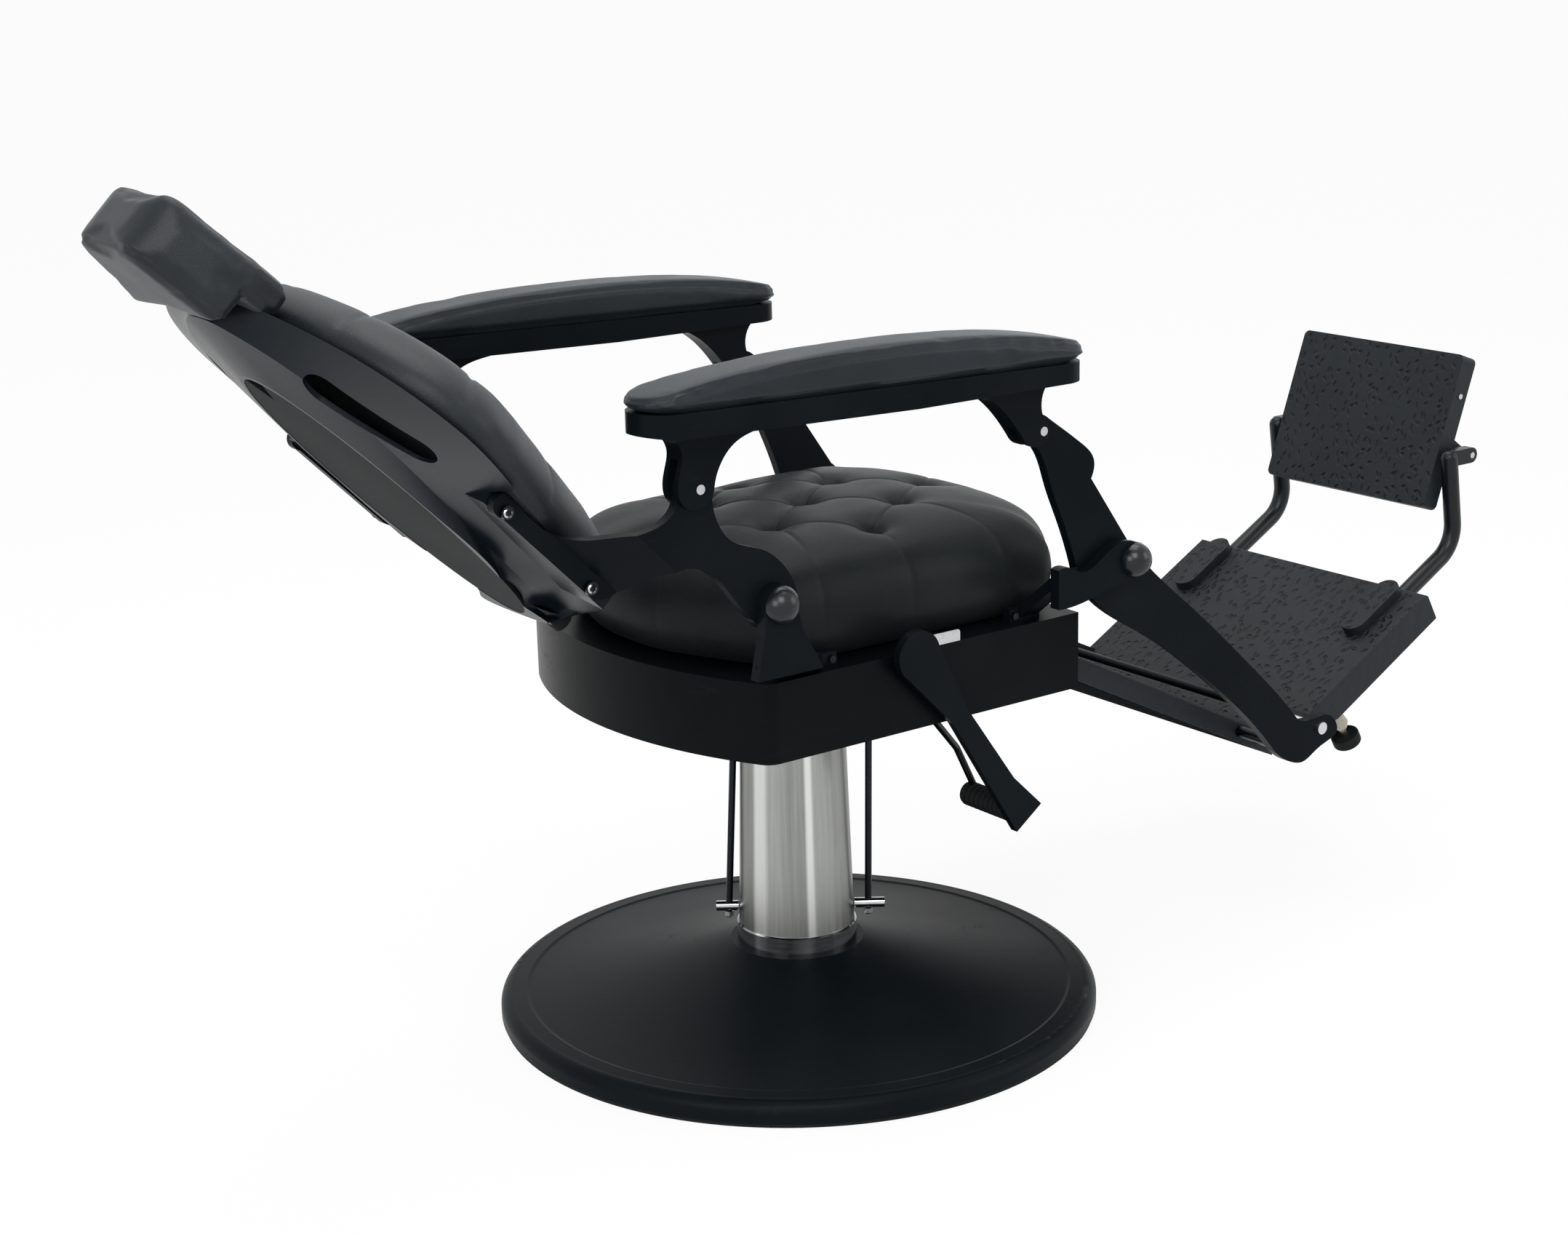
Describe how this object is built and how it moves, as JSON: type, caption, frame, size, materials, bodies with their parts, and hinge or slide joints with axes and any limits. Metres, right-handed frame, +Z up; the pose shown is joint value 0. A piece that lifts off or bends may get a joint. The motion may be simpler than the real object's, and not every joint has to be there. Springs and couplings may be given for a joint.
{
  "type": "hydraulic barber chair",
  "caption": "Padded reclining barber chair on a round base with a lift column, swivelling seat, linked backrest, armrests and leg rest, sliding headrest, folding footrest and pump lever.",
  "frame": {"origin": "on the floor, on the column's axis, at the underside of the base hub", "axes": "+Z up along the column, -Y forward, the way the sitter faces, +X to the sitter's left"},
  "size_m": [0.7, 1.7963, 1.0158],
  "materials": {
    "base_black": "semi-gloss",
    "black_rubber": "matte",
    "bright_chrome": "polished",
    "brushed_column": "brushed",
    "oiled_steel": "satin",
    "bearing_brass": "satin",
    "pan_black": "satin",
    "casting_black": "satin black enamel",
    "shell_black": "satin",
    "black_leather": "soft sheen",
    "hammered_black": "hammered",
    "lever_black": "satin"
  },
  "bodies": {
    "base": {"base_plate": "base_black", "floor_gasket": "black_rubber", "column_collar": "bright_chrome", "column_cover": "brushed_column", "pump_cylinder": "oiled_steel", "cylinder_gland": "oiled_steel", "base_bolts": "oiled_steel"},
    "lift": {"piston_rod": "oiled_steel", "piston_seal": "black_rubber", "thrust_washer": "bearing_brass"},
    "pump_yoke": {"yoke_bar": "oiled_steel", "yoke_rods": "oiled_steel", "yoke_shoes": "oiled_steel", "yoke_nuts": "oiled_steel"},
    "seat": {"seat_skirt": "pan_black", "seat_deck": "pan_black", "mounting_plate": "pan_black", "mount_bolts": "oiled_steel", "seat_cushion": "black_leather", "seat_buttons": "black_leather", "rear_stanchion_right": "casting_black", "rear_stanchion_left": "casting_black", "front_stanchion_right": "casting_black", "front_stanchion_left": "casting_black", "pivot_pins": "oiled_steel", "dome_caps": "bright_chrome", "stanchion_screws": "oiled_steel", "steel_tab": "brushed_column", "lever_bearing": "bright_chrome"},
    "pump_lever": {"lever_bar": "lever_black", "lever_grip": "lever_black", "lever_rod": "oiled_steel"},
    "backrest": {"back_shell": "shell_black", "back_panel": "shell_black", "back_cushion": "black_leather", "back_casting_right": "casting_black", "back_casting_left": "casting_black", "casting_bolts": "oiled_steel", "back_bumper": "black_rubber", "headrest_guide": "pan_black"},
    "headrest": {"headrest_post": "brushed_column", "headrest_plate": "pan_black", "headrest_cushion": "black_leather"},
    "armrest_right": {"arm_frame_right": "casting_black", "arm_pad_right": "black_leather", "arm_pins_right": "oiled_steel"},
    "armrest_left": {"arm_frame_left": "casting_black", "arm_pad_left": "black_leather", "arm_pins_left": "oiled_steel"},
    "legrest": {"leg_casting_right": "casting_black", "leg_casting_left": "casting_black", "calf_plate": "hammered_black", "calf_stays": "oiled_steel", "footrest_axle": "brushed_column"},
    "footrest": {"foot_plate": "hammered_black", "foot_tubes": "hammered_black", "levelling_feet": "oiled_steel", "levelling_pads": "black_rubber"},
    "flip_plate": {"step_plate": "hammered_black", "step_pins": "oiled_steel"}
  },
  "joints": [
    {"name": "lift_slide", "type": "slide", "parent": "base", "child": "lift", "axis": [0, 0, 1], "range_m": [0, 0.15]},
    {"name": "yoke_slide", "type": "slide", "parent": "lift", "child": "pump_yoke", "axis": [0, 0, 1], "range_m": [0, 0.012]},
    {"name": "seat_swivel", "type": "hinge", "parent": "lift", "child": "seat", "pos_m": [0, 0, 0.424], "axis": [0, 0, 1], "continuous": true},
    {"name": "lever_pivot", "type": "hinge", "parent": "seat", "child": "pump_lever", "pos_m": [-0.238, 0.004, 0.461], "axis": [1, 0, 0], "range_deg": [-18, 0]},
    {"name": "recline", "type": "hinge", "parent": "seat", "child": "backrest", "pos_m": [0, 0.222, 0.58], "axis": [1, 0, 0], "range_deg": [0, 32]},
    {"name": "headrest_slide", "type": "slide", "parent": "backrest", "child": "headrest", "axis": [0, 0.7071, 0.7071], "range_m": [0, 0.06]},
    {"name": "arm_right_pivot", "type": "hinge", "parent": "backrest", "child": "armrest_right", "pos_m": [-0.275, 0.312, 0.711], "axis": [1, 0, 0], "range_deg": [-34, 0]},
    {"name": "arm_left_pivot", "type": "hinge", "parent": "backrest", "child": "armrest_left", "pos_m": [0.275, 0.312, 0.711], "axis": [1, 0, 0], "range_deg": [-34, 0]},
    {"name": "legrest_pivot", "type": "hinge", "parent": "seat", "child": "legrest", "pos_m": [0, -0.263, 0.544], "axis": [1, 0, 0], "range_deg": [0, 27]},
    {"name": "footrest_pivot", "type": "hinge", "parent": "legrest", "child": "footrest", "pos_m": [0, -0.585, 0.279], "axis": [1, 0, 0], "range_deg": [-40, 0]},
    {"name": "flip_pivot", "type": "hinge", "parent": "footrest", "child": "flip_plate", "pos_m": [0, -0.984, 0.536], "axis": [1, 0, 0], "range_deg": [0, 165]}
  ],
  "couplings": [
    {"joint": "arm_right_pivot", "follows": "recline", "ratio": -1.0479},
    {"joint": "arm_left_pivot", "follows": "recline", "ratio": -1.0479},
    {"joint": "legrest_pivot", "follows": "recline", "ratio": 0.8057},
    {"joint": "yoke_slide", "follows": "lever_pivot", "m_per_rad": -0.038}
  ]
}
